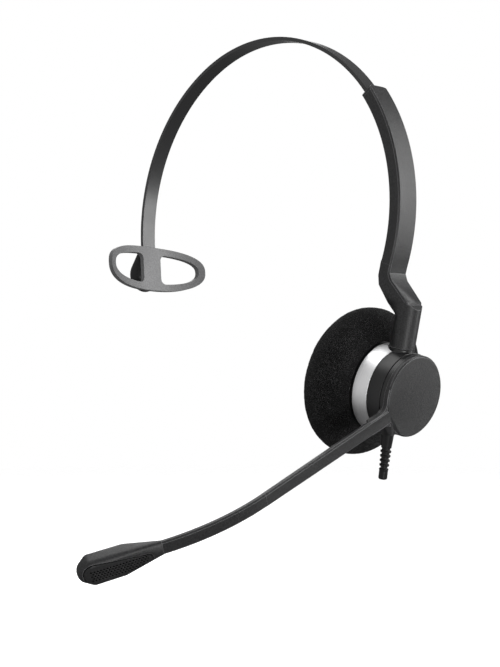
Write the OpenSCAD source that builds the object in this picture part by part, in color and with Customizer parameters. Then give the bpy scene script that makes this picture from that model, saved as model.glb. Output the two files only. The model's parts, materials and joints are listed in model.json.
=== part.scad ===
// Office headset with one earphone: a sprung headband with a temple pad, an arm that
// slides on the band, a swivelling earphone and a microphone boom that turns right round.
// The origin is the centre of the headband's arc, where the wearer's head sits.
// +X points to the earphone, -Y is the way the wearer faces, +Z is up.

/* [Headband] */
// Radius of the middle of the band over the crown
band_r = 63.4; // [61:0.2:66]
// Radius of the flatter stretch that comes down to the temple pad
side_r = 68.5; // [66:0.5:76]
// Direction where the flatter stretch starts, up from the earphone side
side_from = 118.5; // [105:0.5:125]
// Thickness of the band
band_t = 1.3; // [1:0.1:1.6]
// Width of the band
band_w = 6.4; // [5.5:0.1:7]

/* [Temple pad] */
// Length of the pad from front to back
pad_len = 49.4; // [44:0.2:54]
// Height of the pad
pad_h = 17.5; // [15:0.5:20]
// Thickness of the pad's frame
pad_t = 1.9; // [1.5:0.1:2.5]
// Radius that the pad is curved to
pad_bend = 67; // [60:1:90]
// Width of the pad's frame round its windows
pad_rim = 2.8; // [2.4:0.1:3.4]
// Width of the pad's middle bar
pad_bar = 9; // [8.4:0.2:11]

/* [Arm] */
// Width of the arm
arm_w = 9.7; // [9.2:0.1:11]
// Thickness of the arm over the band
arm_t = 4.6; // [4.4:0.1:5.2]
// Direction of the arm's top end
arm_top = 37; // [34:1:42]
// Radius of the round stem that the arm ends in
stem_r = 4.4; // [4.2:0.1:4.6]
// Bevel along the arm's long edges
arm_bevel = 0.55; // [0.3:0.05:0.8]

/* [Earphone] */
// How far the earphone's axis dips on its outer side, in degrees
cup_dip = 12.7; // [8:0.1:16]
// Radius of the cap face
cap_r = 14.05; // [13.5:0.05:14.1]
// Radius of the housing
housing_r = 14.2; // [14.1:0.1:14.8]
// Outer radius of the metal ring at its cushion side
ring_r = 15.5; // [15:0.1:16.5]
// Radius of the foam ear cushion
cushion_r = 26; // [24:0.5:28]

/* [Boom] */
// How far the boom points down from straight ahead, in degrees
boom_dip = 25.4; // [15:0.2:35]
// Length of the boom from the hub to where it starts to bend
boom_straight = 72; // [60:1:80]
// Radius of the bend towards the mouth
boom_bend = 76.8; // [60:0.2:100]
// Angle of the bend
boom_turn = 28; // [20:1:34]
// Height of the boom at the earphone
boom_h = 5.2; // [4.6:0.1:5.4]
// Bevel along the boom's outer edges
boom_bevel = 0.55; // [0.3:0.05:0.7]
// Length of the microphone housing at the boom's tip
tip_len = 26; // [26:0.5:30]

/* [Cord entry] */
// Radius of the hole for the cord
cord_bore_r = 1.05; // [0.9:0.05:1.1]
// Length of the strain relief below the cap
relief_len = 15.5; // [14:0.5:18]

/* [Hidden] */
$fn = 96;
big_fn = 240;
hull_fn = 32;
fit = 0.05;
eps = 0.01;
overlap = 1.5;
step = 0.03;

// Headband
side_shift = band_r - side_r;
band_in_arm = 4;
band_end = 192.5;
stop_angle = 5;
rivet_r = 0.8;

// Temple pad: its place behind and below the band's end
pad_x = -63.4;
pad_z = -17.9;
pad_lean = 7.4;
pad_twist = 2.9;
pad_power = 2.5;
window_corner = 2.2;
rivet_z = [-0.6, 4.6];

// Arm
arm_out = band_r + 3.15;
arm_in = arm_out - arm_t;
arm_low = -20;
slot_in = band_r - band_t / 2 - fit;
slot_out = band_r + band_t / 2 + fit;
stop_out = slot_out + 0.8;
stop_w = 7.9;
lip_angle = 10.5;
slot_low = -12;
cover_low = slot_low - 4;
spring_wall = 1;
spring_at = arm_top - 7.8;
leaf_r = 5.2;
leaf_t = 0.25;
leaf_rise = 4.25;
knee_face = [62.63, -27.58];
knee_end = [68.77, -35.22];
knee_slope = 38.8;
knee_start = [cos(arm_low + 0.5), sin(arm_low + 0.5)];

// Earphone: depths are measured inwards from the cap face, along the earphone's axis
cup_at = [69.2, 0, -66.9];
stem_depth = 9.1;
stem_low = 14.85;
collar_top = 14.6;
seam_gap = 0.2;
cap_depth = 3.45;
housing_top = cap_depth + seam_gap;
washer_low = housing_top + 0.35;
housing_low = 9.3;
ring_low = 14.6;
wall = 1.5;
pin_r = 1.5;
bush_r = 2.4;
bush_low = 10.6;
pin_head = bush_low - 0.1;
cup_low = 25.2;
cup_rim_r = 21;
plate_depth = 24;
hub_r = 3;
hub_hole_r = 2;
driver_r = 14;
basket_depth = 19.8;
board_depth = 11.8;
board_t = 0.8;

// Boom
face_t = 1.1;
split_depth = 1.9;
bar_depth = 2.5;
bar_mid = -1.2;
wire_mid = -0.6;
far_h = 4.6;
cord_out = 8.2;
cord_depth = 2.3;
cord_lean = 5;
neck_low = 13.3;
plug_r = 1.45;
plug_len = 0.8;
floor_depth = 2.55;
clip_top = 2.1;
web_r = 4;
wire_depth = 1.35;
bend_lap = 0.3;
mic_x = 14.5;
mic_y = -2.45;
hole_start = [5, 4.5, 5, 6.5, 8];
cover_gap = 0.35;

// ---------- helpers ----------

// A bar bent round the headband's axis, from direction a0 to direction a1
module arc_bar(r_in, r_out, width, a0, a1) {
    rotate([90, 0, 0])
        rotate([0, 0, a0])
            rotate_extrude(angle = a1 - a0, $fn = big_fn)
                translate([r_in, -width / 2])
                    square([r_out - r_in, width]);
}

// The same about the centre of the band's flatter side stretch
module side_bar(r_in, r_out, width, a0, a1) {
    translate([side_shift * cos(side_from), 0, side_shift * sin(side_from)])
        arc_bar(r_in, r_out, width, a0, a1);
}

// Places children at a direction and radius on the headband's arc, with +X pointing outwards
module on_arc(angle, radius) {
    rotate([0, -angle, 0])
        translate([radius, 0, 0])
            children();
}

// The pad's frame: origin in the middle of its inner face, +X towards the head
module at_pad(twist = 0) {
    translate([pad_x, 0, pad_z])
        rotate([0, -pad_lean, 0])
            rotate([-twist, 0, 0])
                children();
}

// The earphone's frame: origin in the middle of the cap face, +X outwards, +Z along the stem
module at_cup() {
    translate(cup_at)
        rotate([0, cup_dip, 0])
            children();
}

// The earphone's turning axis as +Z, pointing outwards
module on_axis() {
    at_cup()
        rotate([0, 90, 0])
            children();
}

// A disc or tube on the earphone's axis between two depths
module ring(r_out, r_in, d0, d1) {
    translate([0, 0, -d1])
        difference() {
            cylinder(r = r_out, h = d1 - d0);
            if (r_in > 0)
                translate([0, 0, -1])
                    cylinder(r = r_in, h = d1 - d0 + 2);
        }
}

function signed_power(c, n) = sign(c) * pow(abs(c), 2 / n);

// ---------- headband ----------

module band_path(extra_t, width) {
    t = band_t / 2 + extra_t;
    arc_bar(band_r - t, band_r + t, width, band_in_arm, side_from);
    side_bar(side_r - t + eps, side_r + t - eps, width - eps, side_from - overlap, band_end);
}

module spring_band() {
    color("dimgray")
        difference() {
            band_path(0, band_w);
            at_rivets(rivet_r);
            stop_pin(rivet_r);
        }
}

module pad_outline(len, h) {
    polygon([for (i = [0:79]) [
        len / 2 * signed_power(cos(i * 4.5), pad_power),
        h / 2 * signed_power(sin(i * 4.5), pad_power)]]);
}

module pad_window() {
    offset(r = window_corner, $fn = 32)
        offset(delta = -window_corner)
            difference() {
                pad_outline(pad_len - 2 * pad_rim, pad_h - 2 * pad_rim);
                translate([-pad_bar / 2 - 50, -50])
                    square([pad_bar + 50, 100]);
            }
}

// The curved sheet that the pad's frame is cut from
module pad_sheet(front, back) {
    translate([pad_bend, 0, -pad_h])
        rotate([0, 0, 150])
            rotate_extrude(angle = 60, $fn = big_fn)
                translate([pad_bend - front, 0])
                    square([front + back, 2 * pad_h]);
}

module temple_pad() {
    color("gray")
        difference() {
            at_pad(pad_twist)
                intersection() {
                    pad_sheet(0, pad_t);
                    rotate([90, 0, 90])
                        translate([0, 0, -10])
                            linear_extrude(24)
                                difference() {
                                    pad_outline(pad_len, pad_h);
                                    for (side = [0, 1])
                                        mirror([side, 0])
                                            pad_window();
                                }
                }
            band_path(fit, band_w + 0.2);
            at_rivets(rivet_r);
        }
}

// The black holder that grips the band's end on the outer side of the pad
module band_holder() {
    color([0.07, 0.07, 0.07])
        difference() {
            at_pad()
                hull($fn = hull_fn) {
                    translate([-2.9, 0, 6.2])
                        scale([1.7, 4.4, 1.9])
                            sphere(1, $fn = hull_fn);
                    translate([-5, 0, -1.8])
                        scale([4.6, 6.4, 6.7])
                            sphere(1, $fn = hull_fn);
                }
            at_pad(pad_twist)
                pad_sheet(12, pad_t + 0.02);
            band_path(fit, band_w + 0.2);
            at_rivets(rivet_r);
        }
}

// Two pins square to the pad, through the band's end
module at_rivets(radius) {
    at_pad()
        for (z = rivet_z)
            translate([-4.6, 0, z])
                rotate([0, 90, 0])
                    cylinder(r = radius, h = 3.74);
}

module holder_rivets() {
    color("silver")
        at_rivets(rivet_r);
}

module stop_pin(radius) {
    on_arc(band_in_arm + stop_angle / 2, band_r - band_t / 2)
        rotate([0, 90, 0])
            cylinder(r = radius, h = band_t + 0.8);
}

module band_stop() {
    color("black")
        difference() {
            arc_bar(slot_out - fit, stop_out - fit, stop_w, band_in_arm, band_in_arm + stop_angle);
            stop_pin(rivet_r);
        }
}

module stop_rivet() {
    color("silver")
        stop_pin(rivet_r);
}

// ---------- arm ----------

module arm_section() {
    b = arm_bevel;
    h = arm_w / 2;
    polygon([[arm_in + 0.3, -h], [arm_out - b, -h], [arm_out, b - h], [arm_out, h - b],
        [arm_out - b, h], [arm_in + 0.3, h], [arm_in, h - 0.3], [arm_in, 0.3 - h]]);
}

// A thin slice across the arm, from an inner point to an outer point of its side view
module arm_slice(inner, outer, width) {
    run = outer - inner;
    t = norm(run);
    h = width / 2;
    translate([inner.x, 0, inner.y])
        rotate([0, -atan2(run.y, run.x), 0])
            linear_extrude(0.05)
                polygon([[0, -h], [t - arm_bevel, -h], [t, arm_bevel - h], [t, h - arm_bevel],
                    [t - arm_bevel, h], [0, h]]);
}

// Everything on the inner side of the arm's slanted outer face
module under_face() {
    translate([knee_face.x, -20, knee_face.y])
        rotate([0, -knee_slope, 0])
            translate([step - 60, 0, -60])
                cube([60, 40, 90]);
}

// Where the arm draws in towards the head, then slants out again
module knee() {
    hull() {
        arm_slice((arm_in + step) * knee_start, (arm_out - step) * knee_start, arm_w - 2 * step);
        arm_slice([57.2, -25.7], [61.85, -25.2], arm_w - 2 * step);
    }
    hull() {
        arm_slice([57.2, -25.7], [61.85, -25.2], arm_w - 2 * step);
        arm_slice([57.4, -28.9], knee_face, arm_w - 2 * step);
    }
    hull() {
        arm_slice([57.4, -28.9], knee_face, arm_w - 2 * step);
        arm_slice([61, -35], knee_end, arm_w - 0.6);
    }
}

// Where the arm becomes round
module foot() {
    hull() {
        arm_slice([61, -35], knee_end, arm_w - 0.6);
        stem(28, 26, stem_r - step);
    }
    stem(stem_low, 30);
}

// A stretch of the round stem, between two heights above the earphone's axis
module stem(low, high, radius = stem_r) {
    at_cup()
        translate([-stem_depth, 0, min(low, high)])
            cylinder(r = radius, h = abs(high - low));
}

module band_slot() {
    arc_bar(slot_in, slot_out, band_w + 0.14, slot_low, arm_top + 3);
    arc_bar(slot_in, stop_out + fit, stop_w + 0.2, slot_low, arm_top - lip_angle);
    arc_bar(arm_in - 1, slot_in + eps, stop_w - 0.5, cover_low, arm_top - 1.2);
}

// Rounds a corner of the arm's top end
module top_corner(side) {
    on_arc(arm_top, arm_in - 1)
        mirror([0, side, 0])
            rotate([90, 0, 90])
                linear_extrude(arm_t + 2)
                    translate([arm_w / 2, 0])
                        polygon([[-2.1, 0.1], [-1.9, -0.03], [-0.8, -0.3], [-0.3, -0.8], [-0.03, -1.9],
                            [0.1, -2.1], [1, -2.1], [1, 1], [-2.1, 1]]);
}

module arm_shell() {
    color([0.2, 0.2, 0.21])
        difference() {
            union() {
                rotate([90, 0, 0])
                    rotate([0, 0, arm_low])
                        rotate_extrude(angle = arm_top - arm_low, $fn = big_fn)
                            arm_section();
                knee();
                intersection() {
                    foot();
                    under_face();
                }
            }
            band_slot();
            spring_pocket();
            for (side = [0, 1])
                top_corner(side);
            stem(stem_low - 1, 25, pin_r);
            arm_screw_holes(0.6, -1);
        }
}

module arm_cover() {
    color([0.16, 0.16, 0.17])
        difference() {
            arc_bar(arm_in, slot_in, stop_w - 0.6, cover_low + 0.1, arm_top - 1.3);
            arm_screw_holes(0.6, -2);
        }
}

// Two small screws at the lower end of the cover, below the reach of the band's stop
module arm_screw_holes(radius, start) {
    on_arc(slot_low - 2, arm_in + start)
        for (y = [-2.2, 2.2])
            translate([0, y, 0])
                rotate([0, 90, 0])
                    cylinder(r = radius, h = arm_t - 1 - start);
}

module arm_screws() {
    color("silver")
        arm_screw_holes(0.6, 0.1);
}

module spring_pocket() {
    arc_bar(slot_in, arm_out - spring_wall, 5.4, spring_at - 2.9, spring_at + 2.9);
}

// A bowed leaf that presses the band so that the arm stays where it is put
module grip_spring() {
    color("lightgray")
        on_arc(spring_at, arm_out - spring_wall - 0.08)
            rotate([90, 0, 0])
                linear_extrude(5, center = true)
                    intersection() {
                        translate([leaf_rise, 0])
                            difference() {
                                circle(r = leaf_r + leaf_t);
                                circle(r = leaf_r);
                            }
                        translate([-2, -3])
                            square([2, 6]);
                    }
}

module swivel_pin() {
    color("silver") {
        stem(pin_head, 24.8, pin_r);
        stem(pin_head - 0.9, pin_head + eps, 2.7);
    }
}

// ---------- earphone ----------

module ear_housing() {
    color([0.08, 0.08, 0.08])
        difference() {
            union() {
                on_axis() {
                    ring(housing_r, 11.6, housing_top, housing_low);
                    ring(13, 11.6, housing_low - eps, ring_low);
                    ring(12, 0, housing_top, housing_top + wall);
                }
                stem(bush_low, collar_top);
                at_screws()
                    ring(1.9, 0, housing_top + wall - eps, ring_low);
                board_posts();
            }
            on_axis() {
                ring(8.2, 0, 0, washer_low);
                ring(hub_r, 0, 0, 30);
            }
            at_screws()
                ring(0.6, 0, 11, 20);
            stem(5, 30, bush_r);
        }
}

// Two posts that carry the junction board
module board_posts() {
    at_cup()
        for (y = [-4.5, 4.5])
            translate([-board_depth, y, -5.2])
                rotate([0, 90, 0])
                    cylinder(r = 0.8, h = board_depth - housing_top - wall + eps);
}

// Three places round the axis for the screws that hold the speaker cup
module at_screws() {
    on_axis()
        for (a = [60, 180, 300])
            rotate([0, 0, a + 180])
                translate([10.2, 0, 0])
                    children();
}

module swivel_bush() {
    color("goldenrod")
        difference() {
            stem(bush_low, collar_top - 0.1, bush_r);
            stem(5, 30, pin_r + fit);
        }
}

module trim_ring() {
    color("silver")
        difference() {
            on_axis()
                rotate_extrude()
                    polygon([[13.05, -housing_low], [14.35, -housing_low], [ring_r, -ring_low],
                        [13.05, -ring_low]]);
            stem(8, 20, stem_r + 0.35);
        }
}

module speaker_cup() {
    color([0.1, 0.1, 0.1])
        difference() {
            on_axis()
                rotate_extrude()
                    polygon([[9, -ring_low], [15.3, -ring_low], [15.3, -16], [cup_rim_r, -20],
                        [cup_rim_r, -plate_depth], [19.6, -plate_depth], [19.6, -20.6],
                        [14.8, -17.2], [14.5, -16], [9, -16]]);
            at_screws()
                ring(0.6, 0, 10, 20);
        }
}

module cup_screws() {
    color("silver")
        at_screws() {
            ring(0.6, 0, 11, 16 + eps);
            ring(1.2, 0, 16, 16.7);
        }
}

module speaker_plate() {
    color([0.1, 0.1, 0.1])
        on_axis()
            difference() {
                ring(cup_rim_r, 0, plate_depth, cup_low);
                for (row = [0:2])
                    for (i = [0:max(0, row * 6 - 1)])
                        rotate([0, 0, i * 60 / max(1, row)])
                            translate([row * 3.2, 0, 0])
                                ring(0.9, 0, plate_depth - 1, cup_low + 1);
            }
}

module acoustic_cloth() {
    color("darkslategray")
        on_axis()
            ring(9, 0, plate_depth - 0.2, plate_depth);
}

module speaker_basket() {
    color("gainsboro")
        on_axis()
            difference() {
                ring(driver_r, 0, basket_depth, plate_depth);
                ring(driver_r - 0.8, 0, basket_depth + 0.8, plate_depth + 1);
                for (i = [0:5])
                    rotate([0, 0, i * 60 + 30])
                        translate([10, 0, 0])
                            ring(1.6, 0, 19, 21);
            }
}

module speaker_magnet() {
    color("dimgray")
        on_axis()
            ring(7, 1.2, 17.2, basket_depth);
}

module voice_coil() {
    color("peru")
        on_axis()
            ring(4.6, 4.2, 20.9, 22.4);
}

module speaker_cone() {
    color("whitesmoke")
        on_axis() {
            ring(driver_r - 0.85, 4.6, 22.4, 22.7);
            difference() {
                ring(4.7, 0, 22.4, 23.4);
                ring(4.2, 0, 22.3, 23.1);
            }
        }
}

module junction_board() {
    color("darkgreen")
        at_cup()
            translate([-board_depth - board_t, -5.5, -7.6])
                cube([board_t, 11, 4.6]);
}

module speaker_leads() {
    color("firebrick")
        at_cup()
            for (y = [-2, 2])
                translate([-basket_depth, y, -7.25])
                    rotate([0, 90, 0])
                        cylinder(r = 0.3, h = basket_depth - board_depth - board_t);
}

// The foam hides the cup's rim: a round cushion closed over the ear side
module ear_cushion() {
    r = cushion_r;
    color([0.05, 0.05, 0.05])
        on_axis()
            rotate_extrude()
                polygon(concat(
                    [[0, -cup_low], [21.1, -cup_low], [21.1, -19.7], [15.8, -15.7], [15.8, -15]],
                    [for (a = [80:-10:-70]) [r - 8 + 8 * cos(a), -23.6 + 8 * sin(a)]],
                    [[16, -32], [0, -32.4]]));
}

// ---------- boom hub ----------

module hub_tube() {
    color("goldenrod")
        on_axis()
            difference() {
                union() {
                    ring(hub_r, hub_hole_r, 1.5, 7.5);
                    ring(4.6, hub_hole_r, housing_top + wall, 6.4);
                }
                ring(5, 2.6, clip_top - 0.05, floor_depth - fit);
            }
}

module hub_washer() {
    color("white")
        on_axis()
            ring(8, hub_r + 0.1, cap_depth + fit, washer_low);
}

module hub_clip() {
    color("silver")
        on_axis()
            difference() {
                ring(4.6, 2.62, clip_top, floor_depth - fit);
                translate([0, -1, -3])
                    cube([6, 2, 4]);
            }
}

// ---------- boom ----------

// The boom's section has a flat outer face with bevels and a rounded back. It is moulded in
// two halves that meet at the parting depth.
module bar_section(h, outer, face = 0) {
    b = boom_bevel;
    e = h / 2;
    if (outer)
        polygon([[b - e, -face], [e - b, -face], [e, -b - face], [e, -1.3], [e - 0.34, -split_depth],
            [0.34 - e, -split_depth], [-e, -1.3], [-e, -b - face]]);
    else
        polygon([[e - 0.34, -split_depth], [e - 0.45, -2.1], [e - 1.1, -bar_depth],
            [1.1 - e, -bar_depth], [0.45 - e, -2.1], [0.34 - e, -split_depth]]);
}

// A thin slice of the boom at a distance from the hub
module bar_slice(at, h, outer) {
    translate([at, bar_mid, 0])
        rotate([90, 0, 90])
            linear_extrude(0.02)
                bar_section(h, outer);
}

// The boom's frame: +X forward and down along the boom, +Y up across it, +Z out of the face
module along_boom() {
    at_cup()
        multmatrix([[0, 0, 1, 0], [-1, 0, 0, 0], [0, 1, 0, 0], [0, 0, 0, 1]])
            rotate([0, 0, -boom_dip])
                children();
}

// Sweeps a section round the boom's bend: X is the distance from the bend's centre
module bend_sweep() {
    translate([boom_straight, 0, -boom_bend])
        rotate([-90, 0, 0])
            rotate([0, 0, -90 - bend_lap])
                rotate_extrude(angle = boom_turn + bend_lap, $fn = big_fn)
                    children();
}

// Places children where the bend ends, with +X along the tip
module at_tip() {
    translate([boom_straight, 0, -boom_bend])
        rotate([0, boom_turn, 0])
            translate([0, 0, boom_bend])
                children();
}

module bar_body(outer) {
    hull() {
        bar_slice(10, boom_h, outer);
        bar_slice(boom_straight - 0.02, far_h, outer);
    }
    bend_sweep()
        translate([boom_bend, bar_mid])
            rotate([0, 0, -90])
                bar_section(far_h - 2 * step, outer, step);
}

// The web that rounds the corners between the cap's disc and the boom
module root_web(high, low) {
    translate([0, 0, -low])
        linear_extrude(low - high)
            intersection() {
                offset(r = -web_r)
                    offset(delta = web_r, $fn = 64)
                        union() {
                            circle(r = cap_r - step);
                            translate([0, bar_mid - boom_h / 2 + 0.05])
                                square([40, boom_h - 0.1]);
                        }
                translate([9, -9])
                    square([13, 17]);
            }
}

// The microphone housing: a rounded pod that hangs below and behind the boom's end
module tip_pod() {
    r = 2.2;
    hull() {
        for (p = [[11, -0.75], [tip_len - 4.4, -0.75], [12, -5.2], [tip_len - 5, -5.4]])
            for (z = [-r, -4.6])
                translate([p.x, p.y, z])
                    sphere(r, $fn = hull_fn);
        translate([7.2, -3.6, -r])
            sphere(r, $fn = hull_fn);
        translate([tip_len - 2.6, -3, -3.3])
            scale([2.6, 3.6, 2.9])
                sphere(1, $fn = hull_fn);
        for (outer = [true, false])
            bar_slice(-0.4, far_h, outer);
    }
}

// The outline of the cover over the microphone, seen square to the pod's outer face
module cover_outline(gap) {
    offset(delta = -gap)
        hull() {
            translate([tip_len - 5, -3.3])
                circle(r = 3.6, $fn = 40);
            translate([4.5, -3.1])
                circle(r = 1.7, $fn = hull_fn);
            translate([12, -4.2])
                circle(r = 2.7, $fn = hull_fn);
        }
}

module cover_room(gap, low) {
    translate([0, 0, -low])
        linear_extrude(low + 3)
            cover_outline(gap);
}

// The room in the pod for the microphone's boot
module mic_room() {
    translate([mic_x - 2.7, mic_y - 2.7, -5.9])
        cube([10.4, 5.4, 5]);
}

// The wire's path; its two straight ends run a little way into the slightly thicker bend
module wire_path(radius, start, tail) {
    translate([start, wire_mid, -wire_depth])
        rotate([0, 90, 0])
            cylinder(r = radius, h = boom_straight - start + 0.4, $fn = 24);
    bend_sweep()
        translate([boom_bend - wire_depth, wire_mid])
            circle(r = radius + step, $fn = 24);
    at_tip()
        translate([-0.4, wire_mid, -wire_depth])
            rotate([0, 90, 0])
                cylinder(r = radius, h = tail + 0.4, $fn = 24);
}

// Places children at the screws that join the two halves of the cap
module at_cap_screws() {
    on_axis()
        for (a = [35, 155, 245])
            rotate([0, 0, a])
                translate([10.4, 0, 0])
                    children();
}

// The cord's exit: origin at the neck's mouth, with -Z down the cord
module at_cord() {
    at_cup()
        translate([-cord_depth, -cord_out, -neck_low])
            rotate([cord_lean, 0, 0])
                children();
}

// The short neck below the boom's root that the strain relief plugs into
module neck() {
    hull() {
        at_cord() {
            for (y = [-0.35, 0.35])
                translate([0, y, 0])
                    cylinder(r = 2.05, h = 1, $fn = hull_fn);
            for (y = [-1.1, 1.1])
                translate([0, y, 3.3])
                    cylinder(r = 2.05, h = 1, $fn = hull_fn);
        }
        along_boom()
            translate([15.5, bar_mid - boom_h / 2 + 0.4, -cap_depth + 0.2])
                cylinder(r = 0.4, h = bar_depth - 0.2, $fn = 16);
    }
}

module boom_shell() {
    color([0.2, 0.2, 0.21])
        difference() {
            union() {
                on_axis()
                    rotate_extrude()
                        polygon([[0, -split_depth], [cap_r, -split_depth], [cap_r, -boom_bevel],
                            [cap_r - boom_bevel, 0], [0, 0]]);
                along_boom() {
                    bar_body(true);
                    root_web(0.3, split_depth);
                    at_tip()
                        tip_pod();
                }
            }
            difference() {
                on_axis()
                    ring(12.4, 0, face_t, 5);
                at_cap_screws()
                    ring(1.5, 0, 0, split_depth);
            }
            neck();
            at_cap_screws()
                ring(0.6, 0, 1.2, 5);
            along_boom() {
                wire_path(0.6, 5, 13);
                at_tip() {
                    cover_room(0, 2.4);
                    mic_room();
                }
            }
        }
}

module boom_cover() {
    color([0.1, 0.1, 0.1])
        difference() {
            union() {
                on_axis()
                    ring(cap_r, 0, split_depth, cap_depth);
                along_boom() {
                    bar_body(false);
                    root_web(split_depth, bar_depth);
                }
                neck();
            }
            on_axis() {
                ring(hub_r + fit, 0, 0, 10);
                ring(housing_r + 0.15, 0, cap_depth, 10);
            }
            difference() {
                on_axis()
                    ring(12.4, 0, 0, floor_depth);
                at_cap_screws()
                    ring(1.5, 0, split_depth, 5);
                neck();
            }
            at_cap_screws() {
                ring(0.6, 0, 1, 5);
                ring(1.1, 0, cap_depth - 0.6, 5);
            }
            at_cord() {
                cylinder(r = 0.8, h = 4.5);
                translate([0, 0, -1])
                    cylinder(r = plug_r, h = plug_len + 1);
            }
            along_boom() {
                wire_path(0.6, 5, 13);
                at_tip()
                    tip_pod();
            }
        }
}

module cover_screws() {
    color("silver")
        at_cap_screws() {
            ring(0.6, 0, 1.25, cap_depth - 0.55);
            ring(1.05, 0, cap_depth - 0.58, cap_depth - 0.08);
        }
}

// A flat crimp inside the cap that keeps a pull on the cord off its wires
module cord_anchor() {
    color("silver")
        at_cup()
            difference() {
                translate([-floor_depth, -cord_out - 1.4, -7.6])
                    cube([1.2, 2.8, 1.8]);
                for (y = [-0.7, 0.7])
                    translate([-floor_depth + 0.6, y - cord_out, -8])
                        cylinder(r = 0.35, h = 3);
            }
}

// The rubber sleeve where the cord comes out: a tapered root, five ribs and an end collar
module strain_relief() {
    root = 4.6;
    pitch = (relief_len - root - 3) / 5;
    color([0.06, 0.06, 0.06])
        at_cord()
            difference() {
                union() {
                    cylinder(r = plug_r, h = plug_len);
                    rotate_extrude()
                        polygon(concat(
                            [[0, 0], [2.1, 0], [2.05, -0.8], [1.75, -root]],
                            [for (i = [0:4]) for (p = [[1.4, -0.1], [1.4, -0.5], [1.85, -0.7], [1.8, -1]])
                                [p.x - 0.06 * i, -root + p.y * pitch - i * pitch]],
                            [[1.5, -relief_len + 3], [1.5, -relief_len + 0.3],
                                [1.35, -relief_len], [0, -relief_len]]));
                }
                translate([0, 0, -relief_len - 1])
                    cylinder(r = cord_bore_r, h = relief_len + plug_len + 2);
            }
}

// ---------- microphone ----------

module mic_cover() {
    color([0.14, 0.14, 0.14])
        along_boom()
            at_tip()
                difference() {
                    intersection() {
                        tip_pod();
                        cover_room(cover_gap, 2.3);
                    }
                    translate([0, 0, -0.9])
                        tip_pod();
                    for (row = [0:4])
                        for (x = [hole_start[row]:1:tip_len - 4])
                            translate([x, -2.1 - row * 0.74, -5])
                                cylinder(r = 0.3, h = 8, $fn = 13);
                }
}

module mic_foam() {
    color("black")
        along_boom()
            at_tip()
                translate([mic_x - 2, mic_y - 2, -2])
                    cube([9, 4, 1]);
}

module mic_boot() {
    color([0.25, 0.25, 0.25])
        along_boom()
            at_tip()
                difference() {
                    translate([mic_x, mic_y, -5.9])
                        cylinder(r = 2.65, h = 3.9);
                    translate([mic_x, mic_y, -5.2])
                        cylinder(r = 2, h = 5);
                }
}

module mic_cartridge() {
    color("silver")
        along_boom()
            at_tip()
                translate([mic_x, mic_y, -5.2])
                    cylinder(r = 2, h = 1.6);
}

module boom_wire() {
    color("black")
        along_boom()
            wire_path(0.4, 6, 11);
}

spring_band();
temple_pad();
band_holder();
holder_rivets();
band_stop();
stop_rivet();
arm_shell();
arm_cover();
arm_screws();
grip_spring();
swivel_pin();
ear_housing();
swivel_bush();
trim_ring();
speaker_cup();
cup_screws();
speaker_plate();
acoustic_cloth();
speaker_basket();
speaker_magnet();
voice_coil();
speaker_cone();
junction_board();
speaker_leads();
ear_cushion();
hub_tube();
hub_washer();
hub_clip();
boom_shell();
boom_cover();
cover_screws();
cord_anchor();
strain_relief();
mic_cover();
mic_foam();
mic_boot();
mic_cartridge();
boom_wire();
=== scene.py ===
import json
import math
import bpy
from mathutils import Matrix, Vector, noise


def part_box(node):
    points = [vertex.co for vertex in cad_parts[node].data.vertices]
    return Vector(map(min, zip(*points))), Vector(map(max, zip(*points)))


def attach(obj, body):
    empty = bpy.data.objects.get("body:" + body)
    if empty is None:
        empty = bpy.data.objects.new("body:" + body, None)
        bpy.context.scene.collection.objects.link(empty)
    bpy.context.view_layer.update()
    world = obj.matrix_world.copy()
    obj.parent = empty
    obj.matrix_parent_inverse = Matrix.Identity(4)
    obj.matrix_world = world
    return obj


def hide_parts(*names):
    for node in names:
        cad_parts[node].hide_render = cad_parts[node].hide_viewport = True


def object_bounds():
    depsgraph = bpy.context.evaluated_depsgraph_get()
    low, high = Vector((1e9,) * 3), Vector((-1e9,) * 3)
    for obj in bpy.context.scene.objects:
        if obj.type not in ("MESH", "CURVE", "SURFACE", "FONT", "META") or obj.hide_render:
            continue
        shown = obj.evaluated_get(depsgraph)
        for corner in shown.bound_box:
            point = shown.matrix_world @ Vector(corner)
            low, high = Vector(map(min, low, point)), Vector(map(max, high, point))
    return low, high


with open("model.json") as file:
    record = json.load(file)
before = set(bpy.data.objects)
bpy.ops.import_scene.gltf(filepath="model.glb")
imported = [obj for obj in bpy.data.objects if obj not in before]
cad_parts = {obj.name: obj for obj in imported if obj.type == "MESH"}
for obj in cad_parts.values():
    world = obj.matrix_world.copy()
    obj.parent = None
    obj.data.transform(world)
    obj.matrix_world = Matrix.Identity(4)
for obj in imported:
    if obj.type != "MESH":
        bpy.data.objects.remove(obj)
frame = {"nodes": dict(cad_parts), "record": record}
NODES = frame["nodes"]
JOINTS = {j["name"]: j for j in frame["record"]["behaviour"]["joints"]}
CAD_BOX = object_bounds()
MM = 0.001
WHITE = (1, 1, 1, 1)


def add_object(name, data):
    o = bpy.data.objects.new(name, data)
    bpy.context.scene.collection.objects.link(o)
    return o


def put(tree, socket, value):
    """Joins a socket to another one, or sets its value."""
    if isinstance(value, bpy.types.NodeSocket):
        tree.links.new(value, socket)
    else:
        socket.default_value = value


def remap(tree, value, low, high, out_low, out_high):
    n = tree.nodes.new("ShaderNodeMapRange")
    for key, number in (("Value", value), ("From Min", low), ("From Max", high),
                        ("To Min", out_low), ("To Max", out_high)):
        put(tree, n.inputs[key], number)
    return n.outputs["Result"]


# ---------- camera ----------

CAMERA_AT = Vector((0.38346, -0.39836, -0.05638))
CAMERA_AZIMUTH = math.radians(44.55)
CAMERA_RISE = math.radians(1.22)
LENS_MM = 80.96
SENSOR_MM = 36
CLIP_FROM = 0.01
CLIP_TO = 50


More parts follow.
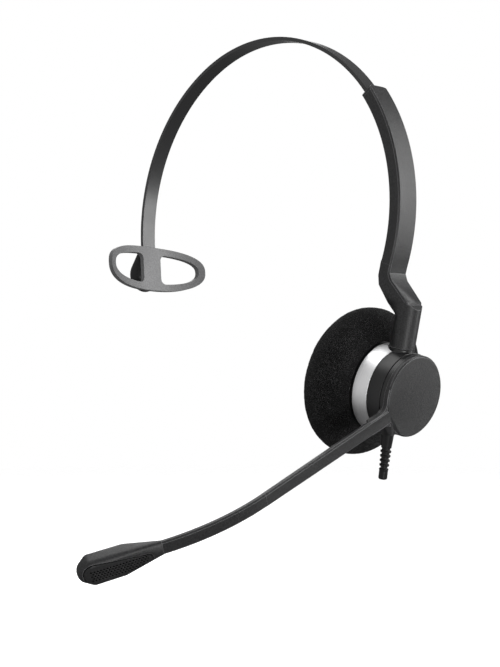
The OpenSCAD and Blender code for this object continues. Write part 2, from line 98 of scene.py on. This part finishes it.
def make_camera():
    data = bpy.data.cameras.new("camera")
    data.lens = LENS_MM
    data.sensor_width = SENSOR_MM
    data.clip_start = CLIP_FROM
    data.clip_end = CLIP_TO
    cam = add_object("camera", data)
    cam.location = CAMERA_AT
    cam.rotation_euler = (math.pi / 2 + CAMERA_RISE, 0, CAMERA_AZIMUTH)
    bpy.context.scene.camera = cam


# ---------- light and floor ----------

MIDDLE = Vector((0, 0, -0.03))
# Where each light stands, its width and height in metres and its power in watts
LIGHTS = {
    "front": ((1.05, -0.5, -0.35), 0.4, 0.5, 5),
    "side": ((0.9, 0.85, 0.3), 0.45, 1.3, 16),
    "top": ((-0.2, -0.05, 1.5), 1.4, 1.4, 16),
    "back": ((-0.9, 0.7, 0.6), 0.6, 1.0, 4),
}
# The surround's brightness in most directions, in front (-Y) and below, and the parts of Y and Z
# over which it changes from one to the other
SURROUND = 0.2
SURROUND_FRONT = 0.6
SURROUND_BELOW = 0.12
FRONT_BAND = (-0.9, 0.0)
BELOW_BAND = (-0.8, -0.3)

# The floor's depth under the part, its width and where it fades out, in metres
FLOOR_DROP = 0.09
FLOOR_SIZE = 40
FLOOR_FADES_FROM = 0.7
FLOOR_GONE_AT = 1.8
FLOOR_COLOUR = (0.9, 0.9, 0.9, 1)
FLOOR_ROUGH = 0.9
FLOOR_GLOW = 0.55


def make_lights():
    for name, (at, width, height, power) in LIGHTS.items():
        data = bpy.data.lights.new(name, "AREA")
        data.shape = "RECTANGLE"
        data.size = width
        data.size_y = height
        data.energy = power
        o = add_object(name, data)
        o.location = at
        o.rotation_euler = (MIDDLE - Vector(at)).to_track_quat("-Z", "Y").to_euler()


def make_world():
    """A white background; what lights the object is dimmer, brightest in front and dark below."""
    world = bpy.data.worlds.new("studio")
    world.use_nodes = True
    tree = world.node_tree
    back = tree.nodes["Background"]
    way = tree.nodes.new("ShaderNodeSeparateXYZ")
    put(tree, way.inputs[0], tree.nodes.new("ShaderNodeTexCoord").outputs["Generated"])
    level = remap(tree, way.outputs["Y"], *FRONT_BAND, SURROUND_FRONT, SURROUND)
    level = remap(tree, way.outputs["Z"], *BELOW_BAND, SURROUND_BELOW, level)
    path = tree.nodes.new("ShaderNodeLightPath")
    level = remap(tree, path.outputs["Is Camera Ray"], 0.0, 1.0, level, 1.0)
    put(tree, back.inputs["Strength"], level)
    put(tree, back.inputs["Color"], WHITE)
    bpy.context.scene.world = world


def floor_material():
    m = bpy.data.materials.new("floor")
    m.use_nodes = True
    tree = m.node_tree
    s = tree.nodes["Principled BSDF"]
    put(tree, s.inputs["Base Color"], FLOOR_COLOUR)
    put(tree, s.inputs["Roughness"], FLOOR_ROUGH)
    put(tree, s.inputs["Emission Color"], WHITE)
    put(tree, s.inputs["Emission Strength"], FLOOR_GLOW)
    far = tree.nodes.new("ShaderNodeVectorMath")
    far.operation = "LENGTH"
    put(tree, far.inputs[0], tree.nodes.new("ShaderNodeTexCoord").outputs["Object"])
    fade = remap(tree, far.outputs["Value"], FLOOR_FADES_FROM, FLOOR_GONE_AT, 1.0, 0.0)
    put(tree, s.inputs["Alpha"], fade)
    return m


def make_floor():
    """A pale floor, low enough for the boom to swing over it, that fades into the background."""
    low = CAD_BOX[0].z - FLOOR_DROP
    h = FLOOR_SIZE / 2
    mesh = bpy.data.meshes.new("floor")
    corners = [(-h, -h, low), (h, -h, low), (h, h, low), (-h, h, low)]
    mesh.from_pydata(corners, [], [(0, 1, 2, 3)])
    mesh.materials.append(floor_material())
    o = add_object("floor", mesh)
    # Only the camera sees the floor, so that no light comes up from it on to the dark plastic
    o.visible_diffuse = o.visible_glossy = o.visible_shadow = False


# ---------- materials ----------

SOCKETS = {"specular": "Specular IOR Level", "metallic": "Metallic", "roughness": "Roughness",
           "sheen": "Sheen Weight", "sheen_roughness": "Sheen Roughness"}
BEVEL_SAMPLES = 6
# The dot product of the rounded normal and the true one, away from an edge and on it
OFF_EDGE, ON_EDGE = 0.998, 0.93


class Graph:
    """A short way to add and join nodes in one material."""

    def __init__(self, name, **sockets):
        self.material = bpy.data.materials.new(name)
        self.material.use_nodes = True
        self.tree = self.material.node_tree
        self.shader = self.tree.nodes["Principled BSDF"]
        for key, value in sockets.items():
            self.shader.inputs[SOCKETS[key]].default_value = value
        self.place = self.add("ShaderNodeTexCoord").outputs["Object"]

    def add(self, kind, settings=None, **inputs):
        """Adds a node; an input is given by its name, or as i0, i1 and so on."""
        n = self.tree.nodes.new(kind)
        for key, value in (settings or {}).items():
            setattr(n, key, value)
        for key, value in inputs.items():
            numbered = key[0] == "i" and key[1:].isdigit()
            put(self.tree, n.inputs[int(key[1:])] if numbered else n.inputs[key], value)
        return n

    def finish(self, **inputs):
        """Joins values to the shader and gives the material."""
        for key, value in inputs.items():
            put(self.tree, self.shader.inputs[key.replace("_", " ")], value)
        return self.material

    def noise(self, size_mm, detail=2.0, rough=0.5, place=None):
        n = self.add("ShaderNodeTexNoise", Scale=1 / (size_mm * MM), Detail=detail,
                     Roughness=rough, Vector=place or self.place)
        return n.outputs["Fac"]

    def spread(self, value, low, high, out_low=0.0, out_high=1.0):
        return remap(self.tree, value, low, high, out_low, out_high)

    def math(self, operation, a, b):
        return self.add("ShaderNodeMath", {"operation": operation}, i0=a, i1=b).outputs[0]

    def mix(self, factor, a, b):
        return self.add("ShaderNodeMix", {"data_type": "RGBA"}, i0=factor, i6=a, i7=b).outputs[2]

    def edges(self, radius_mm):
        """The normal with its edges rounded off, and how near a point is to a sharp edge."""
        soft = self.add("ShaderNodeBevel", {"samples": BEVEL_SAMPLES},
                        Radius=radius_mm * MM).outputs["Normal"]
        true = self.add("ShaderNodeNewGeometry").outputs["Normal"]
        along = self.add("ShaderNodeVectorMath", {"operation": "DOT_PRODUCT"}, i0=soft, i1=true)
        return soft, self.spread(along.outputs["Value"], OFF_EDGE, ON_EDGE)

    def bump(self, height, distance_mm, normal=None):
        n = self.add("ShaderNodeBump", Strength=1.0, Distance=distance_mm * MM, Height=height)
        if normal is not None:
            put(self.tree, n.inputs["Normal"], normal)
        return n.outputs["Normal"]


def shade(colour, k):
    return (*[min(1, c * k) for c in colour], 1)


# Detail and roughness of the finer noises
FINE_NOISE = (3.0, 0.6)
# A band is the part of a noise's values that it acts over, with its least and most effect if
# they aren't 0 and 1
GRAIN_BAND = (0.35, 0.65)
FLOW_MM = 14.0
FLOW_BAND = (0.35, 0.7, 0.0, 0.5)
FLOW_TONE = 0.86
# How much grain and flow marks change the roughness
GRAIN_SHARE, FLOW_SHARE = 0.14, 0.1
MARK_BAND = (0.07, 0.17)
SMOOTHER, ROUGHER = 0.06, 0.07


def plastic(name, colour, rough, grain_mm, bump_mm, fleck=0.25, painted_edge_light=2.0, edge_mm=0.18,
            specular=0.5):
    """Moulded plastic or rubber: spark-eroded grain, faint flow marks, and a painted highlight on
    sharp edges, painted shade instead where the edge factor is under 1.
    """
    g = Graph(name, specular=specular)
    grain = g.noise(grain_mm, *FINE_NOISE)
    flow = g.noise(FLOW_MM)
    soft, painted_edge_mask = g.edges(edge_mm)
    tone = g.mix(g.spread(grain, *GRAIN_BAND), shade(colour, 1 - fleck), shade(colour, 1 + fleck))
    tone = g.mix(g.spread(flow, *FLOW_BAND), tone, shade(colour, FLOW_TONE))
    # Painted light near sharp edges: the colour there is scaled by the edge factor, a painted
    # highlight above 1 and painted shade below 1.
    tone = g.mix(painted_edge_mask, tone, shade(colour, painted_edge_light))
    mark = g.math("ADD", g.math("MULTIPLY", grain, GRAIN_SHARE),
                  g.math("MULTIPLY", flow, FLOW_SHARE))
    return g.finish(Base_Color=tone,
                    Roughness=g.spread(mark, *MARK_BAND, rough - SMOOTHER, rough + ROUGHER),
                    Normal=g.bump(grain, bump_mm, soft))


METAL_EDGE_MM = 0.12
# How much lighter the colour is painted near sharp edges, as a painted highlight
METAL_EDGE_HIGHLIGHT = 1.2
LINE_SQUEEZE = (1, 0.02, 0.02)
LINE_NOISE = (2.0, 0.6)
LINE_BAND = (0.3, 0.7)
LINE_TONES = (0.9, 1.06)
CLOUD_MM = 6.0
CLOUD_DETAIL = 3.0
CLOUD_BAND = (0.4, 0.75, 0.0, 0.5)
CLOUD_TONE = 0.88
CLOUD_ROUGH_BAND = (0.3, 0.7)
CLOUD_SMOOTHER, CLOUD_ROUGHER = 0.05, 0.06


def metal(name, colour, rough, lines_mm=0.12, bump_mm=0.004, axis=None):
    """Turned, rolled or plated metal: fine lines across one direction, cloudy wear, and a painted
    highlight on sharp edges.
    """
    g = Graph(name, metallic=1.0)
    soft, painted_edge_mask = g.edges(METAL_EDGE_MM)
    if axis is None:
        lines = g.noise(lines_mm, *FINE_NOISE)
    else:
        turned = g.add("ShaderNodeVectorRotate", {"rotation_type": "EULER_XYZ"},
                       Vector=g.place, Rotation=axis)
        squeezed = g.add("ShaderNodeVectorMath", {"operation": "MULTIPLY"},
                         i0=turned.outputs[0], i1=LINE_SQUEEZE)
        lines = g.noise(lines_mm, *LINE_NOISE, squeezed.outputs[0])
    cloud = g.noise(CLOUD_MM, CLOUD_DETAIL)
    tone = g.mix(g.spread(lines, *LINE_BAND), *[shade(colour, k) for k in LINE_TONES])
    tone = g.mix(g.spread(cloud, *CLOUD_BAND), tone, shade(colour, CLOUD_TONE))
    # Painted highlight: the colour is lightened near sharp edges
    tone = g.mix(painted_edge_mask, tone, shade(colour, METAL_EDGE_HIGHLIGHT))
    change = (rough - CLOUD_SMOOTHER, rough + CLOUD_ROUGHER)
    return g.finish(Base_Color=tone, Roughness=g.spread(cloud, *CLOUD_ROUGH_BAND, *change),
                    Normal=g.bump(lines, bump_mm, soft))


FOAM_CELL_MM = 0.55
FOAM_FINE_MM = 0.22
FOAM_PATCH_MM = 5.0
FOAM_RELIEF_MM = 0.3
# A cell's wall fades out over WALL_BAND, and is left only where the fine noise is in BROKEN_BAND
WALL_BAND = (0.0, 0.22, 1.0, 0.0)
BROKEN_BAND = (0.5, 0.66)
DULL_BAND = (0.35, 0.7, 0.0, 0.55)
FOAM_ROUGH = (0.3, 0.7, 0.85, 1.0)
WALL_HEIGHT = 0.6
# The foam is black; the pores are painted darker as shade in the cell hollows, and the walls
# lighter as a painted glint
FOAM_PORE_SHADE = (0.0008, 0.0008, 0.0009, 1)
FOAM_WALL_GLINT = (0.22, 0.22, 0.223, 1)
FOAM_DULL = (0.0025, 0.0025, 0.0026, 1)


def foam_material():
    """Open-cell black foam: pores painted darker still as shade in the cell hollows, cell walls
    painted lighter as a glint, with patches of finer cells.
    """
    g = Graph("foam", specular=0.12, sheen=0.03, sheen_roughness=0.5)
    cells = g.add("ShaderNodeTexVoronoi", {"feature": "DISTANCE_TO_EDGE"},
                  Vector=g.place, Scale=1 / (FOAM_CELL_MM * MM)).outputs["Distance"]
    fine = g.noise(FOAM_FINE_MM, 3.0, 0.7)
    patch = g.noise(FOAM_PATCH_MM, 3.0)
    wall = g.math("MULTIPLY", g.spread(cells, *WALL_BAND), g.spread(fine, *BROKEN_BAND))
    # Painted shade in the pores and a painted glint on the cell walls
    tone = g.mix(wall, FOAM_PORE_SHADE, FOAM_WALL_GLINT)
    tone = g.mix(g.spread(patch, *DULL_BAND), tone, FOAM_DULL)
    height = g.math("ADD", g.math("MULTIPLY", wall, WALL_HEIGHT), fine)
    return g.finish(Base_Color=tone, Roughness=g.spread(fine, *FOAM_ROUGH),
                    Normal=g.bump(height, FOAM_RELIEF_MM))


# The length of one radian of the weave's waves; the wave texture has 20 radians to its scale
RADIAN_MM = 0.35
RADIANS_PER_SCALE = 20
CLOTH_WOBBLE = 0.4
CLOTH_RELIEF_MM = 0.08
CLOTH_GAP = (0.01, 0.012, 0.012, 1)
CLOTH_THREAD = (0.06, 0.07, 0.07, 1)


def cloth_material():
    """Fine plain weave, from two crossed waves."""
    g = Graph("acoustic_cloth", roughness=0.9, sheen=0.2)
    threads = []
    for way in ("Y", "Z"):
        wave = g.add("ShaderNodeTexWave", {"bands_direction": way}, Vector=g.place,
                     Scale=1 / (RADIAN_MM * MM) / RADIANS_PER_SCALE, Distortion=CLOTH_WOBBLE)
        threads.append(wave.outputs["Fac"])
    weave = g.math("MULTIPLY", *threads)
    return g.finish(Base_Color=g.mix(weave, CLOTH_GAP, CLOTH_THREAD),
                    Normal=g.bump(weave, CLOTH_RELIEF_MM))


BOARD_MASK = (0.015, 0.1, 0.04, 1)
BOARD_TRACK = (0.05, 0.2, 0.08, 1)
BOARD_SPECK = (0.3, 0.2, 0.06, 1)
TRACK_SCALE = 180.0
TRACK_RELIEF_MM = 0.03
SPECK_MM = 0.3


def board_material():
    """Green solder mask with copper tracks showing through."""
    g = Graph("board", specular=0.5)
    tracks = g.add("ShaderNodeTexBrick", Vector=g.place, Scale=TRACK_SCALE).outputs["Fac"]
    speck = g.noise(SPECK_MM)
    tone = g.mix(tracks, BOARD_MASK, BOARD_TRACK)
    tone = g.mix(g.spread(speck, 0.6, 0.7, 0.0, 0.5), tone, BOARD_SPECK)
    return g.finish(Base_Color=tone, Roughness=g.spread(speck, 0.3, 0.7, 0.25, 0.4),
                    Normal=g.bump(tracks, TRACK_RELIEF_MM))


# Turns the earphone's axis on to X for the fine lines round its ring
CUP_AXIS = Vector(JOINTS["boom_turn"]["axis"])
CUP_TILT = (0, -math.atan2(-CUP_AXIS.z, CUP_AXIS.x), 0)

GREY = (0.019, 0.019, 0.0196)
MIC_GREY = (0.019, 0.019, 0.0195)
BLACK = (0.009, 0.009, 0.0093)
DARK = (0.008, 0.008, 0.0083)
# Colour, roughness, the grain's size and height in millimetres, and other settings, among them the
# factor for the painted highlight on sharp edges (painted shade where it is under 1)
PLASTICS = {
    "grey_plastic": (GREY, 0.42, 0.45, 0.07,
                     {"fleck": 0.7, "painted_edge_light": 10.0, "edge_mm": 0.26, "specular": 0.4}),
    "dark_plastic": (DARK, 0.45, 0.4, 0.03, {"specular": 0.3}),
    "inner_plastic": ((0.03, 0.03, 0.03), 0.55, 0.3, 0.02, {}),
    "black_plastic": (BLACK, 0.34, 0.5, 0.006, {"fleck": 0.2, "painted_edge_light": 2.2}),
    "holder_plastic": (BLACK, 0.36, 0.4, 0.012, {"specular": 0.25}),
    "mic_plastic": (MIC_GREY, 0.36, 0.5, 0.02, {"painted_edge_light": 1.0, "edge_mm": 0.1}),
    "washer_plastic": ((0.7, 0.7, 0.67), 0.4, 0.5, 0.01, {}),
    "pad_rubber": ((0.13, 0.13, 0.132), 0.46, 0.6, 0.05, {"painted_edge_light": 0.6}),
    "relief_rubber": (DARK, 0.4, 0.3, 0.02, {"specular": 0.3}),
    "boot_rubber": ((0.05, 0.05, 0.05), 0.6, 0.3, 0.03, {}),
    "wire_skin": ((0.02, 0.02, 0.02), 0.5, 0.3, 0.01, {}),
    "lead_skin": ((0.3, 0.02, 0.02), 0.45, 0.3, 0.01, {}),
    "cone_film": ((0.6, 0.6, 0.56), 0.25, 0.8, 0.02, {}),
    "spring_steel": ((0.022, 0.022, 0.0227), 0.34, 0.3, 0.002,
                     {"fleck": 0.08, "painted_edge_light": 0.4, "edge_mm": 0.1, "specular": 0.6}),
}
# Colour and roughness, and where they differ the lines' size, height and axis
METALS = {
    "satin_ring": ((0.97, 0.97, 0.98), 0.4, 0.16, 0.006, CUP_TILT),
    "rivet_steel": ((0.5, 0.5, 0.51), 0.35),
    "screw_steel": ((0.36, 0.36, 0.37), 0.35),
    "leaf_steel": ((0.55, 0.55, 0.56), 0.3),
    "basket_steel": ((0.5, 0.5, 0.5), 0.4),
    "magnet_steel": ((0.12, 0.12, 0.13), 0.4),
    "bush_brass": ((0.62, 0.45, 0.2), 0.3),
    "coil_copper": ((0.6, 0.28, 0.14), 0.35, 0.08, 0.02),
}


def make_materials():
    m = {name: plastic(name, *look, **more) for name, (*look, more) in PLASTICS.items()}
    m.update({name: metal(name, *look) for name, look in METALS.items()})
    m.update(foam=foam_material(), cloth=cloth_material(), board=board_material())
    for part in frame["record"]["subparts"]:
        mesh = NODES[part["node"]].data
        mesh.materials.clear()
        mesh.materials.append(m[part["material_slot"]])
    return m


# ---------- smooth shading of the faceted nodes ----------

# Edges flatter than this angle in degrees are shaded smooth
FACETED = {"arm_shell": 32, "boom_shell": 44, "boom_cover": 32, "band_holder": 40, "mic_cover": 32}
WELD_MM = 0.002


def smoothing_group():
    """Geometry nodes that shade smooth across every edge flatter than an angle."""
    t = bpy.data.node_groups.new("smooth_under_angle", "GeometryNodeTree")
    t.interface.new_socket("Geometry", in_out="INPUT", socket_type="NodeSocketGeometry")
    t.interface.new_socket("Angle", in_out="INPUT", socket_type="NodeSocketFloat")
    t.interface.new_socket("Geometry", in_out="OUTPUT", socket_type="NodeSocketGeometry")
    start, end = t.nodes.new("NodeGroupInput"), t.nodes.new("NodeGroupOutput")
    angle = t.nodes.new("GeometryNodeInputMeshEdgeAngle")
    flat = t.nodes.new("FunctionNodeCompare")
    flat.operation = "LESS_THAN"
    faces = t.nodes.new("GeometryNodeSetShadeSmooth")
    sharp = t.nodes.new("GeometryNodeSetShadeSmooth")
    faces.domain, sharp.domain = "FACE", "EDGE"
    t.links.new(start.outputs["Geometry"], faces.inputs["Geometry"])
    t.links.new(faces.outputs["Geometry"], sharp.inputs["Geometry"])
    t.links.new(angle.outputs["Unsigned Angle"], flat.inputs["A"])
    t.links.new(start.outputs["Angle"], flat.inputs["B"])
    t.links.new(flat.outputs["Result"], sharp.inputs["Shade Smooth"])
    t.links.new(sharp.outputs["Geometry"], end.inputs["Geometry"])
    return t


def smooth_nodes():
    group = smoothing_group()
    socket = [s for s in group.interface.items_tree if s.name == "Angle"][0]
    for name, degrees in FACETED.items():
        o = NODES[name]
        if "custom_normal" in o.data.attributes:
            o.data.attributes.remove(o.data.attributes["custom_normal"])
        weld = o.modifiers.new("weld", "WELD")
        weld.merge_threshold = WELD_MM * MM
        smooth = o.modifiers.new("smooth", "NODES")
        smooth.node_group = group
        smooth[socket.identifier] = math.radians(degrees)


# ---------- foam ear cushion ----------

CUP_CENTRE = Vector(JOINTS["boom_turn"]["pos_m"])
CUP_SIDE = Vector((0, 1, 0))
CUP_ACROSS = CUP_AXIS.cross(CUP_SIDE).normalized()
FOAM_ROUND = 8 * MM
FOAM_DEPTH = 23.6 * MM
FOAM_MOUTH = 15.75 * MM
FOAM_MARGIN = 0.1 * MM
FOAM_PITCH = 0.38 * MM
FOAM_TURNS = 420
# The hem: how far out from the mouth and how far back from the rim's middle, in millimetres
HEM = ((0.35, 6.6), (0, 7.2), (0.1, 7.95), (0.9, 8.3))
# The rim: the angles round it at which the profile has points
RIM_ANGLES = range(84, -86, -10)
# The face: how far in from the rim's middle and how far back from the front, in millimetres
FACE = ((2, -0.35), (5, 0), (9, 1.4), (13, 2.1))
FACE_MIDDLE = (0.4, 2.3)
# The surface's unevenness: small lumps, finer ones and broad swells, in millimetres
LUMP_SIZE, LUMP_HEIGHT = 1.1, 0.07
FINER, FINER_HEIGHT = 2.3, 0.06
SWELL_SIZE, SWELL_HEIGHT = 9, 0.12


def foam_profile(outer):
    """(radius, depth) points from the hem inside the mouth, round the rim, to the middle."""
    ring = outer - FOAM_ROUND
    low = FOAM_DEPTH + FOAM_ROUND
    pts = [(FOAM_MOUTH + out * MM, FOAM_DEPTH - back * MM) for out, back in HEM]
    for a in map(math.radians, RIM_ANGLES):
        pts.append((ring + FOAM_ROUND * math.cos(a), FOAM_DEPTH - FOAM_ROUND * math.sin(a)))
    pts += [(ring - inward * MM, low - back * MM) for inward, back in FACE]
    return pts + [(FACE_MIDDLE[0] * MM, low - FACE_MIDDLE[1] * MM)]


def smooth_line(pts, pitch):
    """Points about one pitch apart on a Catmull-Rom curve through pts."""
    out = []
    for i in range(len(pts) - 1):
        p = [Vector(pts[max(0, min(len(pts) - 1, i + k))]) for k in (-1, 0, 1, 2)]
        n = max(1, round((p[2] - p[1]).length / pitch))
        for j in range(n):
            t = j / n
            slope = (p[2] - p[0]) * t
            square = (2 * p[0] - 5 * p[1] + 4 * p[2] - p[3]) * t * t
            cube = (3 * p[1] - p[0] - 3 * p[2] + p[3]) * t ** 3
            out.append(0.5 * (2 * p[1] + slope + square + cube))
    return out + [Vector(pts[-1])]


def turned_mesh(name, line):
    """The profile turned round the earphone's axis, closed by a fan at its last point."""
    verts, faces = [], []
    for r, d in line:
        for k in range(FOAM_TURNS):
            a = 2 * math.pi * k / FOAM_TURNS
            verts.append(CUP_CENTRE - CUP_AXIS * d
                         + (CUP_ACROSS * math.cos(a) + CUP_SIDE * math.sin(a)) * r)
    last = (len(line) - 1) * FOAM_TURNS
    for row in range(0, last, FOAM_TURNS):
        for k in range(FOAM_TURNS):
            q = (k + 1) % FOAM_TURNS
            faces.append((row + k, row + q, row + FOAM_TURNS + q, row + FOAM_TURNS + k))
    verts.append(CUP_CENTRE - CUP_AXIS * line[-1][1])
    faces += [(last + k, last + (k + 1) % FOAM_TURNS, len(verts) - 1) for k in range(FOAM_TURNS)]
    mesh = bpy.data.meshes.new(name)
    mesh.from_pydata(verts, [], faces)
    mesh.update()
    return mesh


def roughen(mesh):
    normals = [v.normal.copy() for v in mesh.vertices]
    for v, normal in zip(mesh.vertices, normals):
        q = v.co / (LUMP_SIZE * MM)
        lumps = (noise.noise(q) * LUMP_HEIGHT + noise.noise(q * FINER) * FINER_HEIGHT
                 + noise.noise(v.co / (SWELL_SIZE * MM)) * SWELL_HEIGHT)
        v.co += normal * lumps * MM


def make_foam(material):
    low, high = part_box("ear_cushion")
    outer = (high.y - low.y) / 2 - FOAM_MARGIN
    mesh = turned_mesh("ear_foam", smooth_line(foam_profile(outer), FOAM_PITCH))
    roughen(mesh)
    mesh.shade_smooth()
    mesh.materials.append(material)
    o = add_object("ear_foam", mesh)
    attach(o, "earphone")
    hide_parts("ear_cushion")


make_camera()
make_world()
make_floor()
make_lights()
bpy.context.scene.view_settings.view_transform = "Standard"
MATERIALS = make_materials()
smooth_nodes()
make_foam(MATERIALS["foam"])
